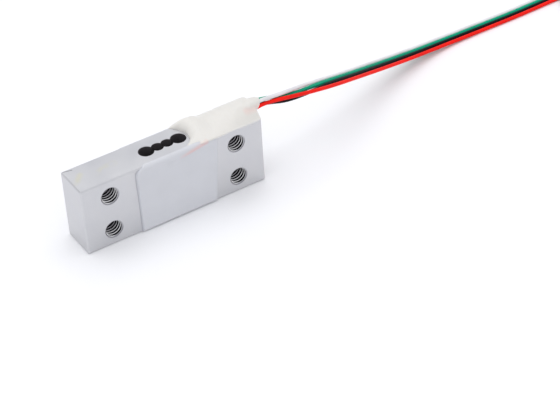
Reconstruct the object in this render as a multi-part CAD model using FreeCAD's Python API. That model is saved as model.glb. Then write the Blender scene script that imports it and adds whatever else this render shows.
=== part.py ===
import FreeCAD, Part
import math
import os

# A miniature single point load cell: a slotted aluminium beam with a strain gauge over each thin wall,
# wired as a full bridge to a small terminal board, sealed in silicone, with four lead wires.
# Millimetres. X runs along the beam towards the end that the leads leave, Y is the way the load bends it
# and Z is up, with z = 0 under the beam and the origin in the middle of its base.

V = FreeCAD.Vector

# --- Beam ---------------------------------------------------------------------------------------------
beam_length = 40.0
beam_depth = 8.0
beam_height = 15.0
edge_break = 0.25

# Four tapped M4 holes go right through the beam, front to back, two at each end.
thread_radius = 2.0
screw_to_end = 6.0
screw_spacing = 8.0

# The cut that makes the beam bend as a parallelogram: two wide bores joined through two narrower ones.
end_bore_radius = 1.6
end_bore_offset = 3.55
link_bore_radius = 1.25
link_bore_offset = 1.05

# --- Strain gauges, one over the thin wall beside each wide bore, on the front and on the back ----------
backing_length = 4.2
backing_width = 3.2
backing_thickness = 0.05
backing_margin = 0.35
foil_thickness = 0.03
grid_lines = 8
grid_line_width = 0.12
grid_line_gap = 0.12
grid_length = 2.0
tab_length = 0.9
tab_width = 0.75
tab_gap = 0.2

# --- Terminal board on the top face, behind the slot ---------------------------------------------------
board_length = 5.2
board_width = 6.4
board_thickness = 0.4
board_to_end = 3.4
pad_thickness = 0.05
jumper_pad_length = 0.9
jumper_pad_width = 0.6
jumper_pad_pitch = 0.95
lead_pad_length = 1.1
lead_pad_width = 0.8
pad_inset = 0.3
lead_pad_ys = (-2.5, -1.3, -0.1, 1.1)

# --- Wires and their solder ---------------------------------------------------------------------------
jumper_radius = 0.15
link_radius = 0.1
lead_radius = 0.4
core_radius = 0.17
core_bedded = 0.5
wire_clearance = 0.02
solder_radius = 0.3
solder_height = 0.34
lead_solder_radius = 0.39
lead_solder_height = 0.42

# The three jumpers of a face. Each starts on a tab of the left (-1) or right (1) gauge, climbs the face past
# its turning points, given as X from the coat's right edge and depth below the top, clears the long edge at
# a last point, given as X and height above the top, and ends on the pad of its rank, 0 innermost.
jumper_ways = {
    "high": {"gauge": -1, "tab": 1, "rank": 0, "face": ((-10.5, 1.25), (-2.2, 0.05)), "over": (-0.6, 0.6)},
    "middle": {"gauge": 1, "tab": 1, "rank": 1, "face": ((-1.3, 1.0),), "over": (0.05, 0.75)},
    "low": {"gauge": 1, "tab": -1, "rank": 2, "face": ((-0.9, 1.9),), "over": (0.6, 0.75)},
}
edge_clearance = 0.15

# --- Silicone -----------------------------------------------------------------------------------------
# The coat reaches this far past the gauges, further at the end that the leads leave.
coat_thickness = 0.55
coat_past_left = 3.3
coat_past_right = 4.6
coat_narrowing = 1.0
coat_bulge = 0.15
coat_corner = 1.3
coat_edge = 0.3

# The potting's left edge in plan, from the back to the front: X past the right side of the wide bore, and Y
# as a share of half the beam's depth.
potting_edge = ((-1.2, 1.25), (0.0, 0.6), (0.5, 0.1), (0.25, -0.45), (-1.9, -0.86), (-4.8, -1.25))

# Its mound: how far along each section stands, as a share of the mound's length, the height of its crown
# above the top face, and how far it laps down the loaded faces.
potting_before_bore = 1.0
potting_to_end = 0.1
potting_sections = (
    (0.0, 0.6, 0.3),
    (0.11, 1.8, 0.3),
    (0.23, 2.8, 0.35),
    (0.34, 2.6, 0.4),
    (0.45, 1.75, 0.4),
    (0.57, 2.25, 0.45),
    (0.72, 2.7, 0.6),
    (0.86, 2.6, 0.9),
    (0.96, 2.3, 1.0),
    (1.0, 1.9, 0.7),
)
# The shape of a section between its lap and its crown: Y as a share of half the depth, and height as a share
# of the crown's.
potting_arch = ((0.9, 0.24), (0.55, 0.72))
lip_thickness = 0.35
lip_height_share = 0.4

# Its nose round the leads: X past the end of the beam, how far below the bundle's middle, and radius.
nose_rings = ((-3.2, 0.45, 1.17), (-0.4, 0.05, 1.5), (0.8, 0.0, 1.3))

# --- Leads past the potting -----------------------------------------------------------------------------
# Each route starts beside its pad, inside the potting, and lists the turning points of one wire. The four leave
# as a square bundle, droop, open out side by side and lie flat on the bench. The routes suit a beam of this
# length and height, and are moved with the end and the top of any other.
routed_length = 40.0
routed_height = 15.0
lead_routes = {
    "red": [
        (17.5, -2.5, 15.95), (20.5, -1.46, 16.16), (24.5, -1.69, 16.06), (29.0, -2.13, 15.5),
        (34.0, -1.64, 14.42), (40.0, 0.21, 12.32), (48.0, 3.78, 8.99), (57.0, 7.52, 5.44),
        (66.0, 10.32, 2.74), (76.0, 12.49, 0.74), (87.0, 12.76, 0.4), (97.0, 12.7, 0.4),
        (107.5, 12.7, 0.4),
    ],
    "black": [
        (17.5, -0.25, 15.95), (20.5, -0.57, 15.98), (24.5, -1.16, 15.36), (29.0, -1.99, 14.59),
        (34.0, -0.86, 13.87), (40.0, 1.15, 12.36), (48.0, 4.67, 8.98), (57.0, 8.44, 5.44),
        (66.0, 11.2, 2.73), (76.0, 13.33, 0.74), (87.0, 13.6, 0.4), (97.0, 13.54, 0.4),
        (107.5, 13.54, 0.4),
    ],
    "green": [
        (17.5, 1.05, 15.95), (20.5, -0.42, 16.96), (24.5, -0.56, 16.19), (29.0, -1.22, 15.38),
        (34.0, -0.2, 14.46), (40.0, 2.1, 12.35), (48.0, 5.57, 8.98), (57.0, 9.35, 5.44),
        (66.0, 12.08, 2.74), (76.0, 14.17, 0.74), (87.0, 14.44, 0.4), (97.0, 14.38, 0.4),
        (107.5, 14.38, 0.4),
    ],
    "white": [
        (17.5, -1.25, 15.95), (20.5, -1.2, 17.1), (24.5, -1.33, 16.84), (29.0, -1.04, 16.34),
        (34.0, 0.57, 14.92), (40.0, 3.01, 12.33), (48.0, 6.5, 8.99), (57.0, 10.26, 5.44),
        (66.0, 13.0, 2.74), (76.0, 15.03, 0.74), (87.0, 15.3, 0.4), (97.0, 15.22, 0.4),
        (107.5, 15.22, 0.4),
    ],
}
lead_order = ("red", "white", "black", "green")

# The rest of the four leads is wound together into one flat round coil, two to three wires high.
coil_centre = (115.5, 4.9)
coil_inner_radius = 7.38
coil_outer_radius = 10.72
coil_height = 2.55
coil_slack = 0.02

# Each arc of a wire takes this share of the shorter run beside it.
arc_share = 0.45


# --- Places on the beam ---------------------------------------------------------------------------------
def on_face(side, out):
    """Y of what lies this far out from the front (side -1) or the back (side 1) of the beam."""
    return side * (beam_depth / 2 + out)


def mid_height():
    return beam_height / 2


def coat_top():
    return beam_height - edge_break


# --- Simple solids -----------------------------------------------------------------------------------
def block(low, high):
    """A box between two opposite corners, given in any order."""
    corner = V(*[min(a, b) for a, b in zip(low, high)])
    size = [abs(a - b) for a, b in zip(low, high)]
    return Part.makeBox(size[0], size[1], size[2], corner)


def dome(base, direction, radius, height):
    """A cap of solder: part of a ball, flat on its base."""
    ball = (radius**2 + height**2) / (2 * height)
    centre = base - direction * (ball - height)
    rim = math.degrees(math.asin((ball - height) / ball))
    return Part.makeSphere(ball, centre, direction, rim, 90, 360)


def wire_path(points):
    """Straight runs joined by tangent arcs, as edges, with the arcs' radii."""
    points = [V(*p) for p in points]
    edges, radii, last = [], [], points[0]
    for before, corner, after in zip(points, points[1:], points[2:]):
        back = (before - corner).normalize()
        on = (after - corner).normalize()
        half_turn = (math.pi - back.getAngle(on)) / 2
        cut = arc_share * min((before - corner).Length, (after - corner).Length)
        radius = cut / math.tan(half_turn)
        start, end = corner + back * cut, corner + on * cut
        middle = (back + on).normalize()
        nearest = corner + middle * (radius / math.cos(half_turn) - radius)
        edges.append(Part.LineSegment(last, start).toShape())
        edges.append(Part.Arc(start, nearest, end).toShape())
        radii.append(radius)
        last = end
    edges.append(Part.LineSegment(last, points[-1]).toShape())
    return edges, radii


def tube(points, radius, name):
    """A round wire along a path of runs and arcs."""
    edges, radii = wire_path(points)
    path = Part.Wire(edges)
    start = edges[0].Vertexes[0].Point
    ring = Part.Wire(Part.makeCircle(radius, start, edges[0].tangentAt(edges[0].FirstParameter)))
    solid = path.makePipeShell([ring], True, True)
    length = sum(e.Length for e in edges)
    share = solid.Volume / (math.pi * radius**2 * length)
    print(f"{name}: {length:.1f} mm, smallest radius {min(radii):.1f} mm, volume/section x length {share:.4f}")
    return solid


def without(solid, others):
    """The solid less what is embedded in it."""
    for other in others:
        if other.BoundBox.intersect(solid.BoundBox):
            solid = solid.cut(other)
    return solid


def straight_runs(points):
    return [Part.LineSegment(a, b).toShape() for a, b in zip(points, points[1:])]


def group(solids):
    return Part.makeCompound(solids)


# --- Beam ---------------------------------------------------------------------------------------------
def beam():
    """The spring element, machined from one bar."""
    half = beam_length / 2
    bar = block((-half, -beam_depth / 2, 0), (half, beam_depth / 2, beam_height))
    bar = bar.makeChamfer(edge_break, bar.Edges)
    for offset, radius in ((end_bore_offset, end_bore_radius), (link_bore_offset, link_bore_radius)):
        for x in (-offset, offset):
            bar = bar.cut(Part.makeCylinder(radius, beam_height + 2, V(x, 0, -1), V(0, 0, 1)))
    for x in (-half + screw_to_end, half - screw_to_end):
        for z in (mid_height() - screw_spacing / 2, mid_height() + screw_spacing / 2):
            mouth = V(x, -beam_depth / 2 - 1, z)
            bar = bar.cut(Part.makeCylinder(thread_radius, beam_depth + 2, mouth, V(0, 1, 0)))
    return bar.removeSplitter()


# --- Strain gauges --------------------------------------------------------------------------------------
def grid_width():
    return grid_lines * grid_line_width + (grid_lines - 1) * grid_line_gap


def tab_centre(end):
    """X of the solder tabs of the gauge over this bore. They face the middle of the beam."""
    return end * (end_bore_offset - grid_length / 2 - tab_gap - tab_length / 2)


def tab_height(up):
    """Z of the upper (up 1) or lower (up -1) tab."""
    return mid_height() + up * (grid_width() - grid_line_width + tab_width) / 2


def gauge_backing(side, end):
    """The plastic film that carries a gauge, bonded over the thin wall."""
    x0, x1 = end * gauge_reach(), end * (gauge_reach() - backing_length)
    low = (x0, on_face(side, 0), mid_height() - backing_width / 2)
    high = (x1, on_face(side, backing_thickness), mid_height() + backing_width / 2)
    return block(low, high)


def gauge_grid(side, end):
    """The etched foil: lines along the beam, joined at their ends by turns, with a tab at each end."""
    y0, y1 = on_face(side, backing_thickness), on_face(side, backing_thickness + foil_thickness)
    near, far = end * (end_bore_offset - grid_length / 2), end * (end_bore_offset + grid_length / 2)
    pitch = grid_line_width + grid_line_gap
    bottom = mid_height() - grid_width() / 2
    pieces = []
    for i in range(grid_lines):
        z = bottom + i * pitch
        pieces.append(block((near, y0, z), (far, y1, z + grid_line_width)))
        if i + 1 < grid_lines:
            x = far if i % 2 == 0 else near
            inward = -end if i % 2 == 0 else end
            turn_top = z + pitch + grid_line_width
            pieces.append(block((x, y0, z), (x + inward * 2 * grid_line_width, y1, turn_top)))
    for up in (-1, 1):
        x = tab_centre(end)
        z = tab_height(up)
        low = (x - tab_length / 2, y0, z - tab_width / 2)
        high = (x + tab_length / 2, y1, z + tab_width / 2)
        pieces.append(block(low, high))
        line = bottom if up < 0 else bottom + (grid_lines - 1) * pitch
        pieces.append(block((x, y0, line), (near, y1, line + grid_line_width)))
    return pieces[0].multiFuse(pieces[1:]).removeSplitter()


def tab_point(side, end, up, out):
    return (tab_centre(end), on_face(side, out), tab_height(up))


def gauge_solder(side):
    """One cap of solder on each of the face's four tabs."""
    caps = []
    foil = backing_thickness + foil_thickness
    for end in (-1, 1):
        for up in (-1, 1):
            base = V(*tab_point(side, end, up, foil))
            caps.append(dome(base, V(0, side, 0), solder_radius, solder_height))
    return group(caps)


# --- Fine wires from the gauges to the board ------------------------------------------------------------
def wire_lift():
    """How far out of a face the middle of a jumper runs."""
    return backing_thickness + foil_thickness + wire_clearance + jumper_radius


def board_left():
    return beam_length / 2 - board_to_end - board_length


def board_top():
    """The top of the pads."""
    return beam_height + board_thickness + pad_thickness


def jumper_pad(side, rank):
    """The middle of a jumper's pad. Rank 0 is the innermost of a side."""
    return (board_left() + pad_inset + jumper_pad_length / 2, side * (rank + 0.5) * jumper_pad_pitch)


def jumper(side, kind):
    """A jumper up the face, over the long edge of the beam and on to its pad."""
    way = jumper_ways[kind]
    x0, _, z0 = tab_point(side, way["gauge"], way["tab"], 0)
    face_y = on_face(side, wire_lift())
    climb = [(coat_right() + x, face_y, beam_height - down) for x, down in way["face"]]
    over_x, over_z = way["over"]
    over = (coat_right() + over_x, on_face(side, edge_clearance), beam_height + over_z)
    pad_x, pad_y = jumper_pad(side, way["rank"])
    return [(x0, face_y, z0)] + climb + [over, (pad_x, pad_y, board_top() + jumper_radius)]


def link(side):
    """The bare wire that joins the two gauges of a face at their lower tabs."""
    left, right = [V(*tab_point(side, end, -1, wire_lift())) for end in (-1, 1)]
    return Part.makeCylinder(link_radius, (right - left).Length, left, right - left)


# --- Terminal board ---------------------------------------------------------------------------------
def terminal_board():
    x = board_left()
    low = (x, -board_width / 2, beam_height)
    high = (x + board_length, board_width / 2, beam_height + board_thickness)
    return block(low, high)


def pad(x, y, length, width):
    z = beam_height + board_thickness
    return block((x - length / 2, y - width / 2, z), (x + length / 2, y + width / 2, z + pad_thickness))


def lead_pad_x():
    return board_left() + board_length - pad_inset - lead_pad_length / 2


def board_pads():
    """Tinned copper pads: a row of six for the jumpers and a row of four for the leads."""
    pads = []
    for side in (-1, 1):
        for rank in range(3):
            x, y = jumper_pad(side, rank)
            pads.append(pad(x, y, jumper_pad_length, jumper_pad_width))
    for y in lead_pad_ys:
        pads.append(pad(lead_pad_x(), y, lead_pad_length, lead_pad_width))
    return group(pads)


def jumper_solder():
    caps = []
    for side in (-1, 1):
        for rank in range(3):
            x, y = jumper_pad(side, rank)
            caps.append(dome(V(x, y, board_top()), V(0, 0, 1), solder_radius, solder_height))
    return group(caps)


def lead_solder():
    caps = []
    for y in lead_pad_ys:
        base = V(lead_pad_x(), y, board_top())
        caps.append(dome(base, V(0, 0, 1), lead_solder_radius, lead_solder_height))
    return group(caps)


# --- Lead wires -------------------------------------------------------------------------------------
def past_routed_end():
    return (beam_length - routed_length) / 2


def lead_route(colour):
    """The turning points of a lead, moved with the end of the beam and, above the bench, with its top."""
    route = []
    for x, y, z in lead_routes[colour]:
        share = min((z - lead_radius) / (routed_height - lead_radius), 1)
        route.append((x + past_routed_end(), y, z + share * (beam_height - routed_height)))
    return route


def lead(colour):
    """A lead: its insulation, and the stripped end of its core down to the pad."""
    points = lead_route(colour)
    sleeve = tube(points, lead_radius, f"lead_{colour}")
    start, on = V(*points[0]), V(*points[1])
    inside = start + (on - start).normalize() * core_bedded
    foot = V(lead_pad_x(), lead_pad_ys[lead_order.index(colour)], board_top() + core_radius)
    run = foot - inside
    core = Part.makeCylinder(core_radius, run.Length, inside, run)
    return sleeve.fuse(core).removeSplitter()


def lead_coil():
    """The outer shape of the wound length, with the flat stretch that runs on to it."""
    x, y = coil_centre[0] + past_routed_end(), coil_centre[1]
    ring = Part.makeCylinder(coil_outer_radius, coil_height, V(x, y, 0), V(0, 0, 1))
    ring = ring.cut(Part.makeCylinder(coil_inner_radius, coil_height + 2, V(x, y, -1), V(0, 0, 1)))
    reach, red_y, _ = lead_route("red")[-1]
    nearest = red_y - lead_radius - coil_slack
    furthest = lead_route("white")[-1][1] + lead_radius + coil_slack
    run_on = block((reach, nearest, 0), (x, furthest, 2 * lead_radius + coil_slack))
    return ring.fuse(run_on).removeSplitter()


# --- Silicone ---------------------------------------------------------------------------------------
def gauge_reach():
    """X of the outer end of a gauge's backing."""
    return end_bore_offset + grid_length / 2 + backing_margin


def coat_left():
    return -(gauge_reach() + coat_past_left)


def coat_right():
    return gauge_reach() + coat_past_right


def coating(side, inside):
    """The thin coat over a loaded face: slightly bowed sides, narrower at the foot, one round top corner."""
    y = on_face(side, 0)
    foot, top = edge_break, coat_top()
    middle = (foot + top) / 2
    left, right = coat_left(), coat_right()
    cut = coat_corner * (1 - math.sqrt(0.5))
    left_foot, left_top = V(left, y, foot), V(left, y, top - coat_corner)
    corner_end = V(left + coat_corner, y, top)
    right_top, right_foot = V(right, y, top), V(right - coat_narrowing, y, foot)
    right_middle = V(right - coat_narrowing / 2 + coat_bulge, y, middle)
    edges = [
        Part.Arc(left_foot, V(left - coat_bulge, y, middle), left_top).toShape(),
        Part.Arc(left_top, V(left + cut, y, top - cut), corner_end).toShape(),
        Part.LineSegment(corner_end, right_top).toShape(),
        Part.Arc(right_top, right_middle, right_foot).toShape(),
        Part.LineSegment(right_foot, left_foot).toShape(),
    ]
    coat = Part.Face(Part.Wire(edges)).extrude(V(0, side * coat_thickness, 0))
    outer = on_face(side, coat_thickness)
    rim = [edge for edge in coat.Edges if all(abs(v.Y - outer) < 1e-6 for v in edge.Vertexes)]
    return without(coat.makeChamfer(coat_edge, rim), inside)


def potting_section(x, crown, lap):
    """One cross-section: a low arch over the top face, with a lip over each of its long edges."""
    half = beam_depth / 2
    top = beam_height
    profile = [(half, -lap), (half + lip_thickness, -lap * lip_height_share)]
    profile += [(half * out, crown * up) for out, up in potting_arch]
    near = [V(x, -out, top + up) for out, up in profile]
    far = [V(x, out, top + up) for out, up in reversed(profile)]
    arch = near + [V(x, 0, top + crown)] + far
    curve = Part.BSplineCurve()
    curve.interpolate(arch)
    inner = [arch[-1], V(x, half, top), V(x, -half, top), arch[0]]
    return Part.Wire([curve.toShape()] + straight_runs(inner))


def potting_nose():
    """The snout of potting round the bundle of leads."""
    exits = [V(*lead_route(colour)[1]) for colour in lead_order]
    centre = sum(exits, V()) / len(exits)
    rings = []
    for past_end, drop, radius in nose_rings:
        middle = V(beam_length / 2 + past_end, centre.y, centre.z - drop)
        rings.append(Part.Wire(Part.makeCircle(radius, middle, V(1, 0, 0))))
    return Part.makeLoft(rings, True, False)


def before_potting():
    """All that lies to the left of the potting's curved edge."""
    bore_side = end_bore_offset + end_bore_radius
    edge = [V(bore_side + x, share * beam_depth / 2, 0) for x, share in potting_edge]
    curve = Part.BSplineCurve()
    curve.interpolate(edge)
    far_left = -beam_length
    around = [edge[-1], V(far_left, edge[-1].y, 0), V(far_left, edge[0].y, 0), edge[0]]
    plan = Part.Face(Part.Wire([curve.toShape()] + straight_runs(around)))
    return plan.extrude(V(0, 0, 2 * beam_height))


def potting(inside):
    """The potting over the board and the lead ends, clear of the nearer wide bore."""
    left = end_bore_offset - potting_before_bore
    right = beam_length / 2 - potting_to_end
    sections = [potting_section(left + (right - left) * share, *rest) for share, *rest in potting_sections]
    mound = Part.makeLoft(sections, True, False).fuse(potting_nose())
    return without(mound.cut(before_potting()), inside)


# --- The whole cell ---------------------------------------------------------------------------------
face_names = {-1: "front", 1: "back"}
end_names = {-1: "left", 1: "right"}
jumper_colours = {
    -1: {"high": "red", "middle": "black", "low": "green"},
    1: {"high": "black", "middle": "red", "low": "white"},
}


def face_nodes(side, beam_solid):
    """The gauges, solder, wires and coat of one loaded face, and the board's solder at the wires' far ends."""
    face = face_names[side]
    nodes = {}
    for end in (-1, 1):
        nodes[f"gauge_backing_{face}_{end_names[end]}"] = gauge_backing(side, end)
        nodes[f"gauge_foil_{face}_{end_names[end]}"] = gauge_grid(side, end)
    solder = gauge_solder(side)
    nodes[f"gauge_solder_{face}"] = solder
    nodes[f"gauge_link_{face}"] = link(side).cut(solder)
    for kind, colour in jumper_colours[side].items():
        name = f"jumper_{face}_{colour}"
        nodes[name] = tube(jumper(side, kind), jumper_radius, name).cut(solder).cut(jumper_solder())
    nodes[f"{face}_coating"] = coating(side, list(nodes.values()) + [beam_solid])
    return nodes


def all_nodes():
    nodes = {"beam": beam()}
    for side in (-1, 1):
        nodes.update(face_nodes(side, nodes["beam"]))
    nodes["terminal_board"] = terminal_board()
    nodes["board_pads"] = board_pads()
    nodes["jumper_solder"] = jumper_solder()
    nodes["lead_solder"] = lead_solder()
    for colour in lead_order:
        nodes[f"lead_{colour}"] = lead(colour).cut(nodes["lead_solder"])
    nodes["potting"] = potting(list(nodes.values()))
    nodes["lead_coil"] = lead_coil()
    return nodes


os.makedirs("parts", exist_ok=True)
for node, shape in all_nodes().items():
    shape.exportStep(f"parts/{node}.step")
    solids = len(shape.Solids)
    print(f"{node}: valid {shape.isValid()}, {solids} solid(s), {shape.Volume:.3f} mm3")
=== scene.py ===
import math

import bmesh
import bpy
from mathutils import Matrix, Vector, noise


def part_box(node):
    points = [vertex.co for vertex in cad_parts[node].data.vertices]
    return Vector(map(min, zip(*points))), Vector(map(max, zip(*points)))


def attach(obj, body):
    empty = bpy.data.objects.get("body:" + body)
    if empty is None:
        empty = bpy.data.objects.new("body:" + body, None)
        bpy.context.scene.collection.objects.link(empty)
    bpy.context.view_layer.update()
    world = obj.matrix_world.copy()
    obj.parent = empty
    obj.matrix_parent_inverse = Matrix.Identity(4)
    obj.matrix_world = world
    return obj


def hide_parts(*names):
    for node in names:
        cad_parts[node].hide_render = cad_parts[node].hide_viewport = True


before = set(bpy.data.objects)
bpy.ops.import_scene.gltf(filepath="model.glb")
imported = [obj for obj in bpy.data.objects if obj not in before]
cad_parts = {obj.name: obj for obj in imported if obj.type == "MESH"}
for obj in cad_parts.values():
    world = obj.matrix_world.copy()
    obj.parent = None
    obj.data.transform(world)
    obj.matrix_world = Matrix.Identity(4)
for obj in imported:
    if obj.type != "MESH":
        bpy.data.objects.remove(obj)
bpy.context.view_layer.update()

MM = 0.001
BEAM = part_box("beam")
BEAM_FACE = BEAM[1][1]
BEAM_TOP = BEAM[1][2]
SCREW_X = 14 * MM
SCREW_ZS = (3.5 * MM, 11.5 * MM)


def mm(*values):
    """A point given in millimetres."""
    return Vector(values) * MM


# --- Camera, light and floor ----------------------------------------------------------------------
# The camera's place in millimetres, and what is right and up in its view.
CAMERA_PLACE = (-134.28, -271.17, 237.95)
CAMERA_RIGHT = (0.84114, -0.53875, -0.04731)
CAMERA_UP = (0.36573, 0.50219, 0.78361)
CAMERA_LENS = 125.7
SENSOR_WIDTH = 36
NEAREST_SEEN = 10 * MM
SKY_COLOUR = (0.95, 0.96, 1.0)
SKY_STRENGTH = 0.85
# Each light's place and size in metres, and its power in watts.
LIGHTS = {
    "overhead": ((0.0, 0.1, 0.7), (0.9, 0.7), 2.1),
    "left_fill": ((-0.7, -0.1, 0.35), (0.5, 0.5), 0.25),
    "front_fill": ((0.2, -0.75, 0.4), (0.6, 0.4), 0.12),
}
LIGHTS_AIM = (0.02, 0, 0.01)
FLOOR_HALF_WIDTH = 1.5
FLOOR_COLOUR = (0.93, 0.93, 0.94)
FLOOR_ROUGHNESS = 0.6


def add_camera():
    data = bpy.data.cameras.new("camera")
    data.sensor_width = SENSOR_WIDTH
    data.lens = CAMERA_LENS
    data.clip_start = NEAREST_SEEN
    camera = bpy.data.objects.new("camera", data)
    camera.location = mm(*CAMERA_PLACE)
    right, up = Vector(CAMERA_RIGHT), Vector(CAMERA_UP)
    camera.rotation_mode = "QUATERNION"
    camera.rotation_quaternion = Matrix((right, up, right.cross(up))).transposed().to_quaternion()
    bpy.context.scene.collection.objects.link(camera)
    bpy.context.scene.camera = camera


def add_area_light(name, place, size, power):
    data = bpy.data.lights.new(name, "AREA")
    data.shape = "RECTANGLE"
    data.size, data.size_y = size
    data.energy = power
    light = bpy.data.objects.new(name, data)
    light.location = place
    aim = Vector(LIGHTS_AIM) - Vector(place)
    light.rotation_euler = aim.to_track_quat("-Z", "Y").to_euler()
    bpy.context.scene.collection.objects.link(light)


def add_studio():
    """A pale sky, a broad soft light overhead and two weaker ones from the sides."""
    bpy.context.scene.view_settings.view_transform = "Standard"
    world = bpy.data.worlds.new("studio")
    world.use_nodes = True
    sky = world.node_tree.nodes["Background"]
    sky.inputs["Color"].default_value = (*SKY_COLOUR, 1)
    sky.inputs["Strength"].default_value = SKY_STRENGTH
    bpy.context.scene.world = world
    for name, (place, size, power) in LIGHTS.items():
        add_area_light(name, place, size, power)


def add_floor(finish):
    mesh = bpy.data.meshes.new("floor")
    work = bmesh.new()
    bmesh.ops.create_grid(work, x_segments=1, y_segments=1, size=FLOOR_HALF_WIDTH)
    work.to_mesh(mesh)
    work.free()
    floor = bpy.data.objects.new("floor", mesh)
    mesh.materials.append(finish)
    bpy.context.scene.collection.objects.link(floor)


# --- Making pieces --------------------------------------------------------------------------------
WIRE_ROUNDNESS = 4
WIRE_STEPS = 6


def face_outwards(work):
    """Turns every face of a closed shape outwards.

    A thin bent sheet can come out of the recalculation inside out, which its volume shows.
    """
    bmesh.ops.recalc_face_normals(work, faces=work.faces)
    if work.calc_volume(signed=True) < 0:
        bmesh.ops.reverse_faces(work, faces=work.faces)


def finished(name, work, finish, smooth=True):
    """Turns a bmesh into a piece that rides on the cell."""
    mesh = bpy.data.meshes.new(name)
    work.to_mesh(mesh)
    work.free()
    for face in mesh.polygons:
        face.use_smooth = smooth
    mesh.materials.append(finish)
    piece = bpy.data.objects.new(name, mesh)
    bpy.context.scene.collection.objects.link(piece)
    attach(piece, "root")
    return piece


def apply_modifiers(piece):
    """Bakes the piece's modifiers into its mesh."""
    graph = bpy.context.evaluated_depsgraph_get()
    mesh = bpy.data.meshes.new_from_object(piece.evaluated_get(graph))
    piece.modifiers.clear()
    piece.data = mesh


def only(kind, geometry):
    """The vertices, edges or faces among an operator's results."""
    return [part for part in geometry if isinstance(part, kind)]


def move(work, geometry, offset):
    bmesh.ops.translate(work, verts=only(bmesh.types.BMVert, geometry), vec=offset)


def smooth_wire(name, points, radius, finish):
    """A round wire on a NURBS line with these control points, in millimetres."""
    curve = bpy.data.curves.new(name, "CURVE")
    curve.dimensions = "3D"
    curve.bevel_depth = radius
    curve.bevel_resolution = WIRE_ROUNDNESS
    curve.resolution_u = WIRE_STEPS
    curve.use_fill_caps = True
    spline = curve.splines.new("NURBS")
    spline.points.add(len(points) - 1)
    for point, place in zip(spline.points, points):
        point.co = (*mm(*place), 1)
    spline.order_u = 3
    spline.use_endpoint_u = True
    curve.materials.append(finish)
    wire = bpy.data.objects.new(name, curve)
    bpy.context.scene.collection.objects.link(wire)
    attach(wire, "root")
    return wire


# --- Materials ------------------------------------------------------------------------------------
# Places on the beam are in millimetres from the middle of its base.
BAR_TONES = (0.60, 0.602, 0.622), (0.64, 0.64, 0.652)
TOOL_LINES = (60, 2600, 2600)
TOOL_LINE_DEPTH = 0.004 * MM
# Each smear on the top: its start, its end and how far it fades out.
SMEARS = (((-19.2, -1.0), (-17.2, 1.2), 0.9), ((-14.6, -0.3), (-10.6, 0.5), 1.2))
SMEAR_TONE = (0.66, 0.64, 0.50)
SMEAR_STRENGTH = 0.6
SCRATCH = (-19.6, 3.62), (-17.9, 3.2)
SCRATCH_TONE = (0.12, 0.12, 0.13)
SCRATCH_STRENGTH = 0.8
SLOT_HALF_LENGTH = 5.3
SLOT_HALF_WIDTH = 1.75
# Painted shade inside the slot and on the walls of the tapped holes.
SHADE_TONE = (0.07, 0.064, 0.068)
# Painted light and shade in the tapped holes: the crests go from shaded deep inside to lit near the
# mouth, and the roots are painted dark as shade.
CREST_SHADED_AND_LIT_TONES = (0.22, 0.21, 0.23), (1.0, 1.0, 1.0)
CREST_DEPTHS = (0.8, 2.9)
ROOT_PAINTED_SHADE = (0.006, 0.005, 0.008)
ROOT_RADII = (1.68, 1.75)
MOUTH_TONE = (0.46, 0.46, 0.48)
MOUTH_DEPTHS = (3.86, 3.88)
GLOW_TONE = (0.86, 0.36, 0.30)
JUMPER_GLOW = (0.9, 14.05), (7.4, 15.05)
JUMPER_GLOW_STRENGTH = 0.36
LEAD_GLOW = (17.6, 16.75), (20.2, 16.75)
LEAD_GLOW_STRENGTH = 0.2
LAP_TONE = (0.6, 0.605, 0.63)
LAP_STRENGTH = 0.9
# Painted shade along the coat's left rim.
PAINTED_RIM_SHADE_TONE = (0.42, 0.43, 0.48)
PAINTED_RIM_SHADE_STRENGTH = 0.4
SILICONE_SCATTER_DEPTH = 0.6 * MM
SILICONE_RIPPLE = 0.03 * MM
INSULATION_SHINE = 0.12
INSULATION_GRAIN = 0.004 * MM


def new_finish(name, colour, roughness, metallic=0.0):
    """A Principled finish. Returns the material, its nodes' tree and the shader."""
    finish = bpy.data.materials.new(name)
    finish.use_nodes = True
    shader = finish.node_tree.nodes["Principled BSDF"]
    shader.inputs["Base Color"].default_value = (*colour, 1)
    shader.inputs["Roughness"].default_value = roughness
    shader.inputs["Metallic"].default_value = metallic
    return finish, finish.node_tree, shader


def node(tree, kind, **settings):
    made = tree.nodes.new(kind)
    for name, value in settings.items():
        setattr(made, name, value)
    return made


def place_on(tree, scale, location):
    """Object coordinates, scaled by axis."""
    where = node(tree, "ShaderNodeTexCoord")
    mapping = node(tree, "ShaderNodeMapping")
    mapping.inputs["Location"].default_value = location
    mapping.inputs["Scale"].default_value = scale
    tree.links.new(where.outputs["Object"], mapping.inputs["Vector"])
    return mapping.outputs["Vector"]


def grain(tree, scale, detail, location=(0, 0, 0)):
    """A cloudy pattern, from 0 to 1. Its scale is one number, or one an axis."""
    if not isinstance(scale, tuple):
        scale = (scale, scale, scale)
    texture = node(tree, "ShaderNodeTexNoise")
    texture.inputs["Scale"].default_value = 1.0
    texture.inputs["Detail"].default_value = detail
    tree.links.new(place_on(tree, scale, location), texture.inputs["Vector"])
    return texture.outputs["Fac"]


def ramp(tree, source, low, high, low_value=0.0, high_value=1.0):
    """Maps a range of the source on to another range, clamped."""
    mapped = node(tree, "ShaderNodeMapRange")
    mapped.inputs["From Min"].default_value = low
    mapped.inputs["From Max"].default_value = high
    mapped.inputs["To Min"].default_value = low_value
    mapped.inputs["To Max"].default_value = high_value
    tree.links.new(source, mapped.inputs["Value"])
    return mapped.outputs["Result"]


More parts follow.
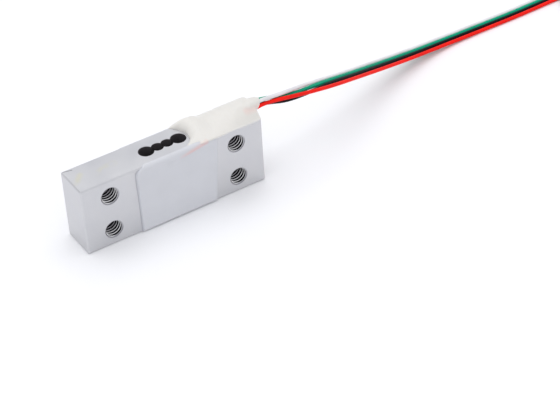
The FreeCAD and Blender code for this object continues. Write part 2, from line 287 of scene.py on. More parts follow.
def mixed(tree, factor, first, second):
    """A colour between two others. Each is a socket or a colour."""
    mix = node(tree, "ShaderNodeMix", data_type="RGBA")
    tree.links.new(factor, mix.inputs["Factor"])
    for name, value in (("A", first), ("B", second)):
        socket = [s for s in mix.inputs if s.name == name and s.type == "RGBA"][0]
        if isinstance(value, bpy.types.NodeSocket):
            tree.links.new(value, socket)
        else:
            socket.default_value = (*value, 1)
    return [s for s in mix.outputs if s.type == "RGBA"][0]


def calc(tree, operation, a, b=None):
    """One step of arithmetic. Each side is a socket or a number."""
    step = node(tree, "ShaderNodeMath", operation=operation)
    for index, value in enumerate((a, b)):
        if isinstance(value, bpy.types.NodeSocket):
            tree.links.new(value, step.inputs[index])
        elif value is not None:
            step.inputs[index].default_value = value
    return step.outputs["Value"]


def unsigned(tree, value):
    """The value without its sign."""
    return calc(tree, "ABSOLUTE", value)


def bumped(tree, shader, height, distance, strength):
    bump = node(tree, "ShaderNodeBump")
    bump.inputs["Distance"].default_value = distance
    bump.inputs["Strength"].default_value = strength
    tree.links.new(height, bump.inputs["Height"])
    tree.links.new(bump.outputs["Normal"], shader.inputs["Normal"])


def axes(tree):
    """Object coordinates in millimetres, one socket an axis."""
    where = node(tree, "ShaderNodeTexCoord")
    scale = node(tree, "ShaderNodeVectorMath", operation="SCALE")
    scale.inputs["Scale"].default_value = 1 / MM
    parts = node(tree, "ShaderNodeSeparateXYZ")
    tree.links.new(where.outputs["Object"], scale.inputs[0])
    tree.links.new(scale.outputs["Vector"], parts.inputs["Vector"])
    return parts.outputs["X"], parts.outputs["Y"], parts.outputs["Z"]


def distance(tree, *offsets):
    """The length of a vector given by its parts."""
    squares = [calc(tree, "MULTIPLY", part, part) for part in offsets]
    total = squares[0]
    for square in squares[1:]:
        total = calc(tree, "ADD", total, square)
    return calc(tree, "SQRT", total)


def stroke(tree, u, v, start, end, inner, outer):
    """1 along a line from start to end in the plane of u and v, fading from inner to outer."""
    run = Vector(end) - Vector(start)
    along = run.normalized()
    du, dv = calc(tree, "SUBTRACT", u, start[0]), calc(tree, "SUBTRACT", v, start[1])
    on = calc(tree, "ADD", product(tree, du, along.x), product(tree, dv, along.y))
    off = calc(tree, "SUBTRACT", product(tree, du, along.y), product(tree, dv, along.x))
    half = run.length / 2
    past = calc(tree, "SUBTRACT", unsigned(tree, calc(tree, "SUBTRACT", on, half)), half)
    return ramp(tree, distance(tree, calc(tree, "MAXIMUM", past, 0.0), off), inner, outer, 1, 0)


def product(tree, *masks):
    total = masks[0]
    for mask in masks[1:]:
        total = calc(tree, "MULTIPLY", total, mask)
    return total


def from_screw(tree, x, z):
    """Distance from the axis of the nearest tapped hole."""
    sideways = calc(tree, "SUBTRACT", unsigned(tree, x), SCREW_X / MM)
    middle = sum(SCREW_ZS) / 2 / MM
    level = unsigned(tree, calc(tree, "SUBTRACT", z, middle))
    rise = calc(tree, "SUBTRACT", level, SCREW_ZS[1] / MM - middle)
    return distance(tree, sideways, rise)


def aluminium():
    """Milled bar, faintly clouded, with tool lines along it, with painted shade in the slot and the
    tapped holes, marked on top.
    """
    finish, tree, shader = new_finish("milled_aluminium", (0.68, 0.68, 0.7), 0.38, metallic=1.0)
    lines = grain(tree, TOOL_LINES, detail=2)
    cloud = grain(tree, 180, detail=3)
    x, y, z = axes(tree)
    colour = mixed(tree, ramp(tree, cloud, 0.3, 0.7), *BAR_TONES)
    top = ramp(tree, z, 14.9, 14.95)
    patch = grain(tree, 420, detail=2, location=(0.3, 0.1, 0))
    first, second = (stroke(tree, x, y, start, end, 0.1, fade) for start, end, fade in SMEARS)
    patchy = ramp(tree, patch, 0.4, 0.65, 0, SMEAR_STRENGTH)
    smear = product(tree, top, calc(tree, "ADD", first, second), patchy)
    colour = mixed(tree, smear, colour, SMEAR_TONE)
    scratch = product(tree, top, stroke(tree, x, y, *SCRATCH, 0.05, 0.12), SCRATCH_STRENGTH)
    colour = mixed(tree, scratch, colour, SCRATCH_TONE)
    # Painted shade: the slot and the tapped holes are painted dark.
    slot = product(
        tree,
        ramp(tree, unsigned(tree, x), SLOT_HALF_LENGTH, SLOT_HALF_LENGTH + 0.1, 1, 0),
        ramp(tree, unsigned(tree, y), SLOT_HALF_WIDTH, SLOT_HALF_WIDTH + 0.1, 1, 0),
        ramp(tree, z, 14.88, 14.98, 1, 0),
        ramp(tree, z, 0.02, 0.12),
    )
    hole = product(
        tree,
        ramp(tree, from_screw(tree, x, z), 2.03, 2.08, 1, 0),
        ramp(tree, unsigned(tree, y), 3.9, 3.98, 1, 0),
    )
    colour = mixed(tree, calc(tree, "MAXIMUM", slot, hole), colour, SHADE_TONE)
    tree.links.new(colour, shader.inputs["Base Color"])
    tree.links.new(ramp(tree, slot, 0, 1, 1, 0), shader.inputs["Metallic"])
    tree.links.new(ramp(tree, cloud, 0.3, 0.75, 0.34, 0.44), shader.inputs["Roughness"])
    bumped(tree, shader, lines, TOOL_LINE_DEPTH, 0.5)
    return finish


def thread_finish():
    """Crests painted bright near the mouth and dimmer with depth as painted shade, over roots
    painted dark as shade, with a plain ring at each mouth.
    """
    finish, tree, shader = new_finish("tapped_aluminium", (0.8, 0.8, 0.82), 0.3, metallic=1.0)
    x, y, z = axes(tree)
    out = unsigned(tree, y)
    # Painted shade: the crests dim with depth, and the roots are painted dark.
    tone = mixed(tree, ramp(tree, out, *CREST_DEPTHS), *CREST_SHADED_AND_LIT_TONES)
    tone = mixed(tree, ramp(tree, from_screw(tree, x, z), *ROOT_RADII), tone, ROOT_PAINTED_SHADE)
    tone = mixed(tree, ramp(tree, out, *MOUTH_DEPTHS), tone, MOUTH_TONE)
    tree.links.new(tone, shader.inputs["Base Color"])
    return finish


def red_lead_glow(tree, x, y, z):
    """Where the red jumper and the red lead show faintly through thin silicone."""
    face = product(
        tree,
        ramp(tree, y, -3.7, -3.4, JUMPER_GLOW_STRENGTH, 0),
        ramp(tree, x, 0.9, 3.6),
        stroke(tree, x, z, *JUMPER_GLOW, 0.08, 0.55),
    )
    nose = product(
        tree,
        ramp(tree, y, -2.0, -1.4, LEAD_GLOW_STRENGTH, 0),
        stroke(tree, x, z, *LEAD_GLOW, 0.05, 0.75),
    )
    return calc(tree, "MAXIMUM", face, nose), GLOW_TONE


def thin_lap(tree, x, y, z):
    """Where the potting runs out over the long edges it is thin, and takes the metal's tone."""
    outside = ramp(tree, unsigned(tree, y), 4.0, 4.2)
    low = ramp(tree, z, 14.7, 15.3, LAP_STRENGTH, 0)
    return product(tree, outside, low), LAP_TONE


def painted_rim_shade(tree, x, y, z):
    """A faint line of painted shade down the coat's left rim."""
    rim = node(tree, "ShaderNodeAttribute", attribute_name="from_left_rim").outputs["Fac"]
    return ramp(tree, rim, 0.05, 0.4, PAINTED_RIM_SHADE_STRENGTH, 0), PAINTED_RIM_SHADE_TONE


def darker(colour, share):
    return tuple(part * share for part in colour)


def silicone(name, colour, roughness, scatter, *marks):
    """Cloudy silicone. Each mark gives a mask and the tone that it shades towards."""
    finish, tree, shader = new_finish(name, colour, roughness)
    cloud = grain(tree, 220, detail=3)
    tone = mixed(tree, ramp(tree, cloud, 0.35, 0.7), colour, darker(colour, 0.965))
    for mark in marks:
        mask, shade = mark(tree, *axes(tree))
        tone = mixed(tree, mask, tone, shade)
    tree.links.new(tone, shader.inputs["Base Color"])
    shader.inputs["Subsurface Weight"].default_value = scatter
    shader.inputs["Subsurface Radius"].default_value = (1.0, 0.95, 0.9)
    shader.inputs["Subsurface Scale"].default_value = SILICONE_SCATTER_DEPTH
    bumped(tree, shader, grain(tree, 420, detail=2), SILICONE_RIPPLE, 0.4)
    return finish


def insulation(name, colour):
    """Drawn plastic on a wire, faintly mottled."""
    finish, tree, shader = new_finish(name, colour, 0.42)
    shader.inputs["Specular IOR Level"].default_value = INSULATION_SHINE
    cloud = ramp(tree, grain(tree, 300, detail=2), 0.35, 0.65)
    tree.links.new(mixed(tree, cloud, colour, darker(colour, 0.88)), shader.inputs["Base Color"])
    bumped(tree, shader, grain(tree, 1500, detail=1), INSULATION_GRAIN, 0.3)
    return finish


def metal(name, colour, roughness):
    finish, tree, shader = new_finish(name, colour, roughness, metallic=1.0)
    speckle = grain(tree, 2500, detail=2)
    worn = ramp(tree, speckle, 0.3, 0.7, roughness * 0.85, roughness * 1.2)
    tree.links.new(worn, shader.inputs["Roughness"])
    return finish


def plain(name, colour, roughness):
    finish, tree, shader = new_finish(name, colour, roughness)
    speckle = ramp(tree, grain(tree, 900, detail=2), 0.35, 0.65)
    tree.links.new(mixed(tree, speckle, colour, darker(colour, 0.9)), shader.inputs["Base Color"])
    return finish


def floor_finish():
    return new_finish("pale_floor", FLOOR_COLOUR, FLOOR_ROUGHNESS)[0]


# --- Lead wires -----------------------------------------------------------------------------------
LEAD_RADIUS = 0.4 * MM
LEAD_LENGTH = 195 * MM
TIP_LENGTH = 5 * MM
TIP_RADIUS = 0.19 * MM
TIP_ROOT = 0.3 * MM
TIP_ROUNDING = 0.12 * MM
TIP_SEGMENTS = 14
TIP_STEPS = 10
# Control points in millimetres, from inside the potting down to the bench and on to the coil.
lead_routes = {
    "red": [
        (17.5, -2.5, 15.95), (20.5, -1.46, 16.16), (24.5, -1.69, 16.06), (29.0, -2.13, 15.5),
        (34.0, -1.68, 14.38), (40.0, 0.13, 12.26), (48.0, 3.66, 8.92), (57.0, 7.38, 5.37),
        (66.0, 10.18, 2.68), (76.0, 12.35, 0.74), (87.0, 12.52, 0.4), (97.0, 12.4, 0.4),
        (107.5, 12.7, 0.4),
    ],
    "black": [
        (17.5, -0.25, 15.95), (20.5, -0.57, 15.98), (24.0, -1.04, 15.46), (27.4, -1.82, 14.82),
        (34.0, -0.86, 13.87), (40.0, 1.15, 12.36), (48.0, 4.67, 8.98), (57.0, 8.44, 5.44),
        (66.0, 11.2, 2.73), (76.0, 13.33, 0.74), (87.0, 13.5, 0.4), (97.0, 13.3, 0.4),
        (107.5, 13.54, 0.4),
    ],
    "green": [
        (17.5, 1.05, 15.95), (20.5, -0.42, 16.96), (24.5, -0.56, 16.19), (29.0, -1.22, 15.38),
        (34.0, -0.2, 14.46), (40.0, 2.1, 12.35), (48.0, 5.57, 8.98), (57.0, 9.35, 5.44),
        (66.0, 12.08, 2.74), (76.0, 14.17, 0.74), (87.0, 14.34, 0.4), (97.0, 14.14, 0.4),
        (107.5, 14.38, 0.4),
    ],
    "white": [
        (17.5, -1.25, 15.95), (20.5, -1.2, 17.1), (24.5, -1.33, 16.84), (29.0, -1.04, 16.34),
        (34.0, 0.57, 14.92), (40.0, 3.01, 12.33), (48.0, 6.5, 8.99), (57.0, 10.26, 5.44),
        (66.0, 13.0, 2.74), (76.0, 15.03, 0.74), (87.0, 15.2, 0.4), (97.0, 14.98, 0.4),
        (107.5, 15.22, 0.4),
    ],
}
COIL_CENTRE = (115.9, 5.3)
COIL_STEPS = 16
COIL_RISE = 0.82
# The smooth line is shorter than the straight runs between its control points.
SMOOTH_SHARE = 0.997


def coil_turns(route, length):
    """The control points of the wound length, which climbs by about a wire a turn."""
    end_x, end_y, floor_z = route[-1]
    centre_x, centre_y = COIL_CENTRE
    radius = end_y - centre_y
    runs = sum((Vector(b) - Vector(a)).length for a, b in zip(route, route[1:]))
    wound = length / MM - runs * SMOOTH_SHARE - (centre_x - end_x)
    turns = wound / (2 * math.pi * radius)
    # A line of order 3 passes this much inside control points set evenly round a circle.
    reach = radius / (0.75 + 0.25 * math.cos(2 * math.pi / COIL_STEPS))
    points = []
    for step in range(int(turns * COIL_STEPS) + 1):
        share = step / COIL_STEPS
        angle = math.pi / 2 - 2 * math.pi * share
        x, y = centre_x + reach * math.cos(angle), centre_y + reach * math.sin(angle)
        points.append((x, y, floor_z + COIL_RISE * share))
    return points


def add_lead(colour, finish, core_finish):
    route = lead_routes[colour]
    points = route + coil_turns(route, LEAD_LENGTH)
    wire = smooth_wire(f"lead_wire_{colour}", points, LEAD_RADIUS, finish)
    tip = add_tip(colour, mm(*points[-2]), mm(*points[-1]), core_finish)
    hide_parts(f"lead_{colour}", "lead_coil")


def add_tip(colour, before, end, finish):
    """The stripped, tinned end of a lead, bent on round with the coil, with a rounded tip."""
    along = (end - before).normalized()
    across = along.cross((0, 0, 1)).normalized()
    radius = (end - mm(*COIL_CENTRE, end.z / MM)).length
    work = bmesh.new()
    turn = along.to_track_quat("Z", "Y").to_matrix().to_4x4()
    place = Matrix.Translation(end - along * TIP_ROOT) @ turn
    made = bmesh.ops.create_circle(
        work, cap_ends=True, segments=TIP_SEGMENTS, radius=TIP_RADIUS, matrix=place
    )
    grown = bmesh.ops.spin(
        work,
        geom=list({f for v in made["verts"] for f in v.link_faces}),
        cent=end + across * radius,
        axis=(0, 0, 1),
        angle=-(TIP_LENGTH + TIP_ROOT) / radius,
        steps=TIP_STEPS,
        use_duplicate=False,
    )["geom_last"]
    bmesh.ops.bevel(
        work,
        geom=only(bmesh.types.BMEdge, grown),
        offset=TIP_ROUNDING,
        affect="EDGES",
        segments=3,
        profile=0.5,
        material=-1,
    )
    face_outwards(work)
    tip = finished(f"lead_tip_{colour}", work, finish)
    return tip


# --- Jumpers under the silicone -------------------------------------------------------------------
JUMPER_RADIUS = 0.15 * MM
# X and Z of each jumper's last bend over the board, and of its end on its pad.
JUMPER_BEND = (11.3, 15.66)
JUMPER_END = (12.15, 15.58)
JUMPER_BEND_OUT = 0.1
# Each runs from its gauge's tab up the face, over the long edge and along the top to its pad. Y is
# in millimetres from the middle of the beam outwards.
jumper_routes = {
    "front_red": [
        (-2.0, 4.25, 8.82), (-1.0, 4.25, 13.75), (6.8, 4.25, 14.8), (8.4, 4.2, 15.08),
        (9.2, 3.75, 15.3),
    ],
    "front_black": [
        (1.95, 4.25, 8.82), (7.4, 4.23, 13.7), (9.0, 4.15, 15.0), (9.7, 3.75, 15.3),
    ],
    "front_green": [
        (1.95, 4.25, 6.3), (7.9, 4.23, 13.0), (9.5, 4.15, 15.0), (10.1, 3.75, 15.3),
    ],
    "back_black": [
        (-2.0, 4.25, 8.82), (-1.0, 4.25, 13.5), (5.0, 4.2, 14.1), (6.0, 4.15, 15.0),
        (6.5, 3.75, 15.3),
    ],
    "back_red": [
        (1.95, 4.25, 8.82), (5.5, 4.25, 13.9), (6.8, 4.2, 15.1), (7.3, 3.75, 15.3),
    ],
    "back_white": [
        (1.95, 4.25, 6.3), (6.5, 4.25, 13.2), (7.6, 4.2, 15.1), (8.1, 3.75, 15.3),
    ],
}
# How far each jumper's pad is from the middle of the board, on the jumper's own side.
jumper_pads = {
    "front_red": 0.475,
    "front_black": 1.425,
    "front_green": 2.375,
    "back_black": 0.475,
    "back_red": 1.425,
    "back_white": 2.375,
}


def add_jumper(name, finish):
    side = -1 if name.startswith("front") else 1
    pad_y = jumper_pads[name]
    bend = (JUMPER_BEND[0], pad_y + JUMPER_BEND_OUT, JUMPER_BEND[1])
    end = (JUMPER_END[0], pad_y, JUMPER_END[1])
    points = [(x, side * y, z) for x, y, z in (*jumper_routes[name], bend, end)]
    wire = smooth_wire(f"jumper_wire_{name}", points, JUMPER_RADIUS, finish)
    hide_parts(f"jumper_{name}")


# --- Silicone coats -------------------------------------------------------------------------------
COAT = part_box("front_coating")
COAT_COLUMNS = 56
COAT_ROWS = 60
COAT_THICKNESS = 0.5 * MM
COAT_ROUNDING = 0.5 * MM
COAT_CORNER = 1.35 * MM
COAT_FADE = 1.4 * MM
# How far each coat folds on to the top of the beam, or stops short of it.
COAT_LIPS = {-1: 0.4 * MM, 1: -0.3 * MM}
BURIED = 0.03 * MM
# The left rim sways by this much about this inset. The right rim leans out as it climbs.
LEFT_INSET = 0.1 * MM
LEFT_SWAY = 0.12 * MM
RIGHT_INSET = 0.9 * MM
RIGHT_LEAN = 1.3 * MM
RIGHT_LEAN_POWER = 0.8
# The sheet starts to turn over the long edge before it, and ends a little after it.
TURN_BEFORE = 0.25 * MM
TURN_EXTRA = 0.35 * MM
COAT_LUMP = 0.06
COAT_LUMP_SCALE = 260
# The uppermost jumper of a face shows as a low ridge, along a straight line that climbs with X.
WIRE_RIDGE = 0.16 * MM
RIDGE_WIDTH = 0.5 * MM
RIDGE_START = -1.0 * MM
RIDGE_LEVEL = 13.91 * MM
RIDGE_CLIMB = 0.157


def slab(columns, rows):
    """A closed sheet from 0 to 1 in X and Y, with its back at Z 0 and its front at Z 1."""
    work = bmesh.new()
    bmesh.ops.create_grid(work, x_segments=columns, y_segments=rows, size=0.5)
    bmesh.ops.translate(work, verts=work.verts, vec=(0.5, 0.5, 0))
    move(work, bmesh.ops.extrude_face_region(work, geom=work.faces[:])["geom"], (0, 0, 1))
    return work


def limited(value):
    """The value kept between 0 and 1."""
    return min(max(value, 0), 1)


def crowded(share, pull=0.9):
    """Moves evenly spaced shares of a length towards both of its ends."""
    return share - pull * math.sin(2 * math.pi * share) / (2 * math.pi)


def between(table, place):
    """Reads a table of pairs at a place, in straight steps."""
    if place <= table[0][0]:
        return table[0][1]
    for (a, low), (b, high) in zip(table, table[1:]):
        if place <= b:
            return low + (high - low) * (place - a) / (b - a)
    return table[-1][1]


def rounded(distance, radius):
    """How far an edge with this radius has risen, from 0 to 1, at a distance in from its rim."""
    return math.sqrt(1 - (1 - limited(distance / radius)) ** 2)


def jumper_height(x):
    """Where the uppermost jumper of a face runs along under the coat."""
    return RIDGE_LEVEL + RIDGE_CLIMB * x if x > RIDGE_START else 0.0


def coat_rims(level, beyond):
    """The coat's left and right rims at a level, and at a distance beyond the foot of the fold."""
    left = COAT[0][0] + LEFT_INSET + LEFT_SWAY * math.cos(math.pi * (level / BEAM_TOP - 0.1))
    corner = limited((beyond + COAT_CORNER) / COAT_CORNER)
    left += COAT_CORNER * (1 - math.sqrt(1 - corner**2)) + max(beyond, 0)
    right = COAT[1][0] - RIGHT_INSET + RIGHT_LEAN * (level / BEAM_TOP) ** RIGHT_LEAN_POWER
    return left, right


def add_coat(name, side, replaced, finish):
    """The sheet of silicone over a loaded face, thin where it folds over the top edge."""
    foot, shoulder = COAT[0][2], COAT[1][2]
    face_height = shoulder - foot
    chamfer = BEAM_TOP - shoulder
    over = math.hypot(chamfer, chamfer)
    climb = face_height + over + COAT_LIPS[side]
    work = slab(COAT_COLUMNS, COAT_ROWS)
    from_rim = work.verts.layers.float.new("from_left_rim")
    for vert in work.verts:
        across, up = crowded(vert.co.x), crowded(vert.co.y) * climb
        level = foot + min(up, face_height)
        beyond = up - face_height
        left, right = coat_rims(level, beyond)
        x = left + (right - left) * across
        if beyond <= 0:
            base = Vector((x, BEAM_FACE, level))
        elif beyond <= over:
            folded = chamfer * beyond / over
            base = Vector((x, BEAM_FACE - folded, shoulder + folded))
        else:
            base = Vector((x, BEAM_FACE - chamfer - (beyond - over), BEAM_TOP))
        turn = limited((beyond + TURN_BEFORE) / (over + TURN_EXTRA)) * math.pi / 2
        out = Vector((0, math.cos(turn), math.sin(turn)))
        lump = noise.noise(Vector((x, level, 3 * side * MM)) * COAT_LUMP_SCALE)
        ridge = WIRE_RIDGE * math.exp(-((level - jumper_height(x)) / RIDGE_WIDTH) ** 2)
        height = COAT_THICKNESS * (1 + COAT_LUMP * lump) + ridge
        height *= rounded(min(x - left, right - x, up), COAT_ROUNDING)
        height *= rounded(climb - up, COAT_FADE)
        place = base + out * (height if vert.co.z > 0.5 else -BURIED)
        vert[from_rim] = (x - left) / MM
        vert.co = (place.x, side * place.y, place.z)
    face_outwards(work)
    piece = finished(name, work, finish)
    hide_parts(replaced)


# --- Potting --------------------------------------------------------------------------------------
# Tables of pairs in millimetres. The rim gives X by Y, and the others give their height or their
# place by X. -1 is the front and 1 is the back.
POTTING_RIM = (
    (-4.4, 1.0), (-4.0, 1.6), (-3.6, 3.0), (-2.0, 5.1), (0.4, 5.45), (2.4, 4.9),
    (4.0, 3.6), (4.4, 3.3),
)
POTTING_RIDGE = ((2.5, 2.4), (9.0, 2.0), (12.2, 1.2), (15.0, 0.3), (17.5, -0.3), (20.0, -0.6))
POTTING_CROWN = (
    (2.5, 1.0), (3.6, 1.4), (5.0, 1.9), (6.3, 2.05), (8.3, 1.8), (10.1, 1.2),
    (12.2, 1.6), (15.0, 2.25), (17.0, 2.45), (18.6, 2.7), (19.4, 2.7), (20.0, 2.4),
)
POTTING_SHOULDER = {
    -1: (
        (2.5, 0.06), (5.0, 0.16), (7.0, 0.5), (10.6, 0.55), (12.0, 0.3), (13.5, 0.14),
        (20.0, 0.1),
    ),
    1: (
        (2.5, 0.1), (4.0, 0.3), (5.4, 0.6), (8.2, 0.6), (9.6, 0.2), (13.5, 0.14),
        (20.0, 0.1),
    ),
}
POTTING_LAP = {
    -1: (
        (1.0, 0.05), (4.0, 0.2), (8.0, 0.5), (10.5, 0.45), (13.3, 0.2),
        (15.1, 0.3), (17.35, 0.65), (18.4, 0.8), (18.9, 0.5), (19.4, 0.2), (20.0, 0.06),
    ),
    1: (
        (3.2, 0.1), (4.2, 0.4), (5.2, 0.85), (7.4, 0.9), (9.4, 0.6), (12.0, 0.3),
        (15.1, 0.35), (17.35, 0.55), (19.0, 0.3), (20.0, 0.06),
    ),
}
POTTING_COLUMNS = 64
POTTING_ROWS = 48
POTTING_END = 19.93
POTTING_END_ROUNDING = 0.6
POTTING_SWELL = 2.6
# The share of the beam's half width from where the sheet turns down into its laps.
POTTING_BREAK = 0.8
POTTING_SINK = 0.12
POTTING_BULGE = 0.28
SHOULDER_BULGE = 0.2
LAP_LIFT = 0.03
# The height and the fineness of the two sizes of lump on the crown.
BROAD_LUMP = (0.12, 0.55)
FINE_LUMP = (0.06, 1.3)
# The snout round the leads: its middle's Y and Z, and each ring's X, drop and radius.
NOSE_MIDDLE = (-0.91, 16.55)
NOSE_RINGS = (
    (16.5, 0.9, 1.2), (18.5, 0.25, 1.7), (19.8, 0.1, 1.54), (20.5, 0.06, 1.36),
    (20.9, 0.03, 1.12),
)
NOSE_SEGMENTS = 40
NOSE_LEAN = math.radians(6)
SKIN_VOXEL = 0.11 * MM
SKIN_SMOOTHING = 0.5
SKIN_ROUNDS = 10


def potting_lump(x, y):
    broad = BROAD_LUMP[0] * noise.noise(Vector((x, y, 0)) * BROAD_LUMP[1])
    return broad + FINE_LUMP[0] * noise.noise(Vector((x, y, 4)) * FINE_LUMP[1])


def potting_point(along, across, outer):
    """A point of the potting's skin, or of its underside, in millimetres."""
    side = 1 if across > 0 else -1
    reach = abs(across)
    half, top = BEAM_FACE / MM, BEAM_TOP / MM
    past = max(reach - POTTING_BREAK, 0)
    drop = past / (1 - POTTING_BREAK)
    y = side * half * min(reach / POTTING_BREAK, 1)
    rim = between(POTTING_RIM, y * (1 + 0.1 * past))
    x = rim + (POTTING_END - rim) * crowded(along, 0.7)
    lap = between(POTTING_LAP[side], x)
    if not outer:
        return Vector((x, y - side * POTTING_SINK, top - POTTING_SINK - drop * lap))
    end = 0.6 + 0.4 * rounded(POTTING_END - x, POTTING_END_ROUNDING)
    swell = rounded(x - rim, POTTING_SWELL) * end
    shoulder = between(POTTING_SHOULDER[side], x) * swell
    if drop > 0:
        bulge = POTTING_BULGE + SHOULDER_BULGE * limited((shoulder - 0.2) / 0.2)
        out = bulge * swell * math.sin(math.pi * (0.15 + 0.85 * drop)) + LAP_LIFT
        return Vector((x, y + side * out, top + shoulder - (lap + shoulder) * drop))
    ridge = between(POTTING_RIDGE, x)
    slope = (y - ridge) / (half - ridge if y > ridge else half + ridge)
    crown = (between(POTTING_CROWN, x) + potting_lump(x, y)) * swell
    return Vector((x, y, top + shoulder + (crown - shoulder) * (1 - slope**2)))


def add_nose(work):
    """Grows a snout out of the mound, ring by ring, round the leads."""
    y, z = NOSE_MIDDLE
    x, drop, radius = NOSE_RINGS[0]
    place = Matrix.Translation(mm(x, y, z - drop)) @ Matrix.Rotation(math.pi / 2, 4, "Y")
    made = bmesh.ops.create_circle(
        work, cap_ends=True, segments=NOSE_SEGMENTS, radius=radius * MM, matrix=place
    )
    face = list({f for v in made["verts"] for f in v.link_faces})
    lean = Matrix.Rotation(NOSE_LEAN, 3, "Y")
    for (x0, drop0, radius0), (x1, drop1, radius1) in zip(NOSE_RINGS, NOSE_RINGS[1:]):
        grown = bmesh.ops.extrude_face_region(work, geom=face)["geom"]
        move(work, grown, mm(x1 - x0, 0, drop0 - drop1))
        face = only(bmesh.types.BMFace, grown)
        ring = only(bmesh.types.BMVert, grown)
        centre = mm(x1, y, z - drop1)
        size = (1, radius1 / radius0, radius1 / radius0)
        bmesh.ops.scale(work, verts=ring, vec=size, space=Matrix.Translation(-centre))
        bmesh.ops.rotate(work, verts=ring, cent=centre, matrix=lean)


def add_potting(finish):
    """The mound over the board, laid as one closed sheet and made one skin with its snout."""
    work = slab(POTTING_COLUMNS, POTTING_ROWS)
    for vert in work.verts:
        vert.co = potting_point(vert.co.x, 2 * vert.co.y - 1, vert.co.z > 0.5) * MM
    add_nose(work)
    face_outwards(work)
    piece = finished("potting_mound", work, finish)
    skin = piece.modifiers.new("skin", "REMESH")
    skin.mode = "VOXEL"
    skin.voxel_size = SKIN_VOXEL
    skin.use_smooth_shade = True
    soften = piece.modifiers.new("soften", "SMOOTH")
    soften.factor = SKIN_SMOOTHING
    soften.iterations = SKIN_ROUNDS
    apply_modifiers(piece)
    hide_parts("potting")


# --- Threads --------------------------------------------------------------------------------------
THREAD_PITCH = 0.7 * MM
THREAD_ROOT = 2.02 * MM
THREAD_CREST = 1.64 * MM
THREAD_BACK = 2.05 * MM
# The ridge's section over one pitch: the share of the pitch, and the radius there.
THREAD_PROFILE = (
    (0, THREAD_ROOT), (0.1, THREAD_ROOT), (0.46, THREAD_CREST), (0.64, THREAD_CREST),
    (1.0, THREAD_ROOT),
)
THREAD_STEPS = 32
THREAD_END = BEAM_FACE - 0.12 * MM
WELD = 0.002 * MM
ON_PLANE = 1e-7
COLLAR_RADIUS = 1.92 * MM
COLLAR_OUTER = BEAM_FACE - 0.005 * MM
COLLAR_INNER = BEAM_FACE - 0.14 * MM
COLLAR_STEPS = 48


def add_collars(work, x, z):
    """The full ring left at each mouth, where the thread runs out."""
    for side in (-1, 1):
        outer, inner = side * COLLAR_OUTER, side * COLLAR_INNER
        section = (
            (COLLAR_RADIUS, outer), (THREAD_BACK, outer), (THREAD_BACK, inner),
            (COLLAR_RADIUS, inner),
        )
        ring = [work.verts.new((x + radius, y, z)) for radius, y in section]
        edges = [work.edges.new((a, b)) for a, b in zip(ring, ring[1:] + ring[:1])]
        bmesh.ops.spin(
            work,
            geom=ring + edges,
            cent=(x, 0, z),
            axis=(0, 1, 0),
            angle=2 * math.pi,
            steps=COLLAR_STEPS,
            use_merge=True,
        )


def wind_ridge(work, x, z):
    """Winds the ridge round the hole, longer than the hole at both ends."""
    start = -BEAM_FACE - 1.5 * THREAD_PITCH
    ring = [
        work.verts.new((x + radius, start + share * THREAD_PITCH, z))
        for share, radius in THREAD_PROFILE
    ]
    edges = [work.edges.new(pair) for pair in zip(ring, ring[1:])]
    turns = int(2 * BEAM_FACE / THREAD_PITCH) + 4
    bmesh.ops.spin(
        work,
        geom=ring + edges,
        cent=(x, 0, z),
        axis=(0, 1, 0),
        dvec=(0, THREAD_PITCH / THREAD_STEPS, 0),
        angle=2 * math.pi * turns,
        steps=THREAD_STEPS * turns,
        use_merge=False,
    )
    bmesh.ops.remove_doubles(work, verts=work.verts, dist=WELD)


def cut_ridge(work):
    """Cuts the ridge off a little inside both faces of the beam."""
    for side in (-1, 1):
        bmesh.ops.bisect_plane(
            work,
            geom=work.verts[:] + work.edges[:] + work.faces[:],
            plane_co=(0, side * THREAD_END, 0),
            plane_no=(0, side, 0),
            clear_outer=True,
        )


def close_ridge(work, x, z):
    """Gives the cut ends their walls, and joins those by a back inside the metal."""
    rims = []
    for side in (-1, 1):
        plane = side * THREAD_END
        rim = [
            edge for edge in work.edges
            if edge.is_boundary and all(abs(v.co.y - plane) < ON_PLANE for v in edge.verts)
        ]
        grown = bmesh.ops.extrude_edge_only(work, edges=rim)["geom"]
        for vert in only(bmesh.types.BMVert, grown):
            out = Vector((vert.co.x - x, 0, vert.co.z - z)).normalized() * THREAD_BACK
            vert.co = (x + out.x, vert.co.y, z + out.z)
        rims += only(bmesh.types.BMEdge, grown)
    bmesh.ops.bridge_loops(work, edges=rims)


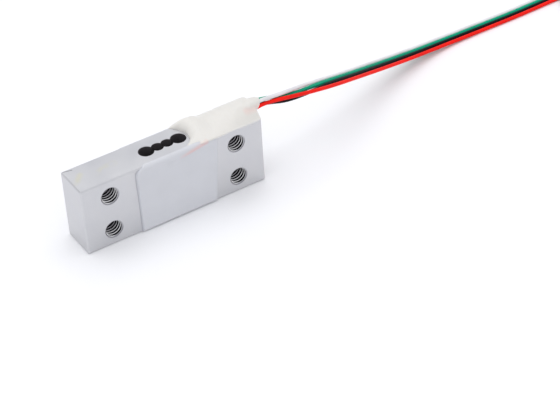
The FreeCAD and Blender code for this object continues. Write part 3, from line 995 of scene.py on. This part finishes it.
def add_thread(name, x, z, finish):
    """The ridge of an M4 thread, wound through the beam, with a ring at each mouth."""
    work = bmesh.new()
    wind_ridge(work, x, z)
    cut_ridge(work)
    close_ridge(work, x, z)
    add_collars(work, x, z)
    face_outwards(work)
    piece = finished(name, work, finish, smooth=False)


def add_threads(finish):
    for end, x in (("load_end", -SCREW_X), ("fixed_end", SCREW_X)):
        for level, z in zip(("lower", "upper"), SCREW_ZS):
            add_thread(f"thread_{end}_{level}", x, z, finish)


# --- Build ----------------------------------------------------------------------------------------
finishes = {
    "aluminium": aluminium(),
    "thread": thread_finish(),
    "coat": silicone(
        "coat_silicone", (0.635, 0.643, 0.672), 0.42, 0.25, red_lead_glow, painted_rim_shade
    ),
    "potting": silicone(
        "potting_silicone", (0.745, 0.725, 0.68), 0.38, 0.3, red_lead_glow, thin_lap
    ),
    "red": insulation("red_insulation", (0.93, 0.012, 0.006)),
    "black": insulation("black_insulation", (0.004, 0.004, 0.005)),
    "green": insulation("green_insulation", (0.0, 0.36, 0.2)),
    "white": insulation("white_insulation", (0.80, 0.79, 0.80)),
    "tin": metal("tinned_wire", (0.75, 0.74, 0.72), 0.28),
    "solder": metal("solder", (0.72, 0.72, 0.74), 0.3),
    "foil": metal("foil", (0.62, 0.56, 0.47), 0.35),
    "film": plain("gauge_film", (0.62, 0.33, 0.06), 0.35),
    "board": plain("board_laminate", (0.50, 0.42, 0.17), 0.5),
}

# The finish of each CAD node that stays, by a word in its name.
cad_finishes = {
    "beam": "aluminium",
    "backing": "film",
    "foil": "foil",
    "solder": "solder",
    "terminal_board": "board",
    "board_pads": "tin",
    "link": "tin",
}

add_camera()
add_studio()
add_floor(floor_finish())

for name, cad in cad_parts.items():
    for word, key in cad_finishes.items():
        if word in name:
            cad.data.materials.clear()
            cad.data.materials.append(finishes[key])

for colour in lead_routes:
    add_lead(colour, finishes[colour], finishes["tin"])
for name in jumper_routes:
    add_jumper(name, finishes[name.split("_")[1]])
add_coat("front_coat", -1, "front_coating", finishes["coat"])
add_coat("back_coat", 1, "back_coating", finishes["coat"])
add_potting(finishes["potting"])
add_threads(finishes["thread"])
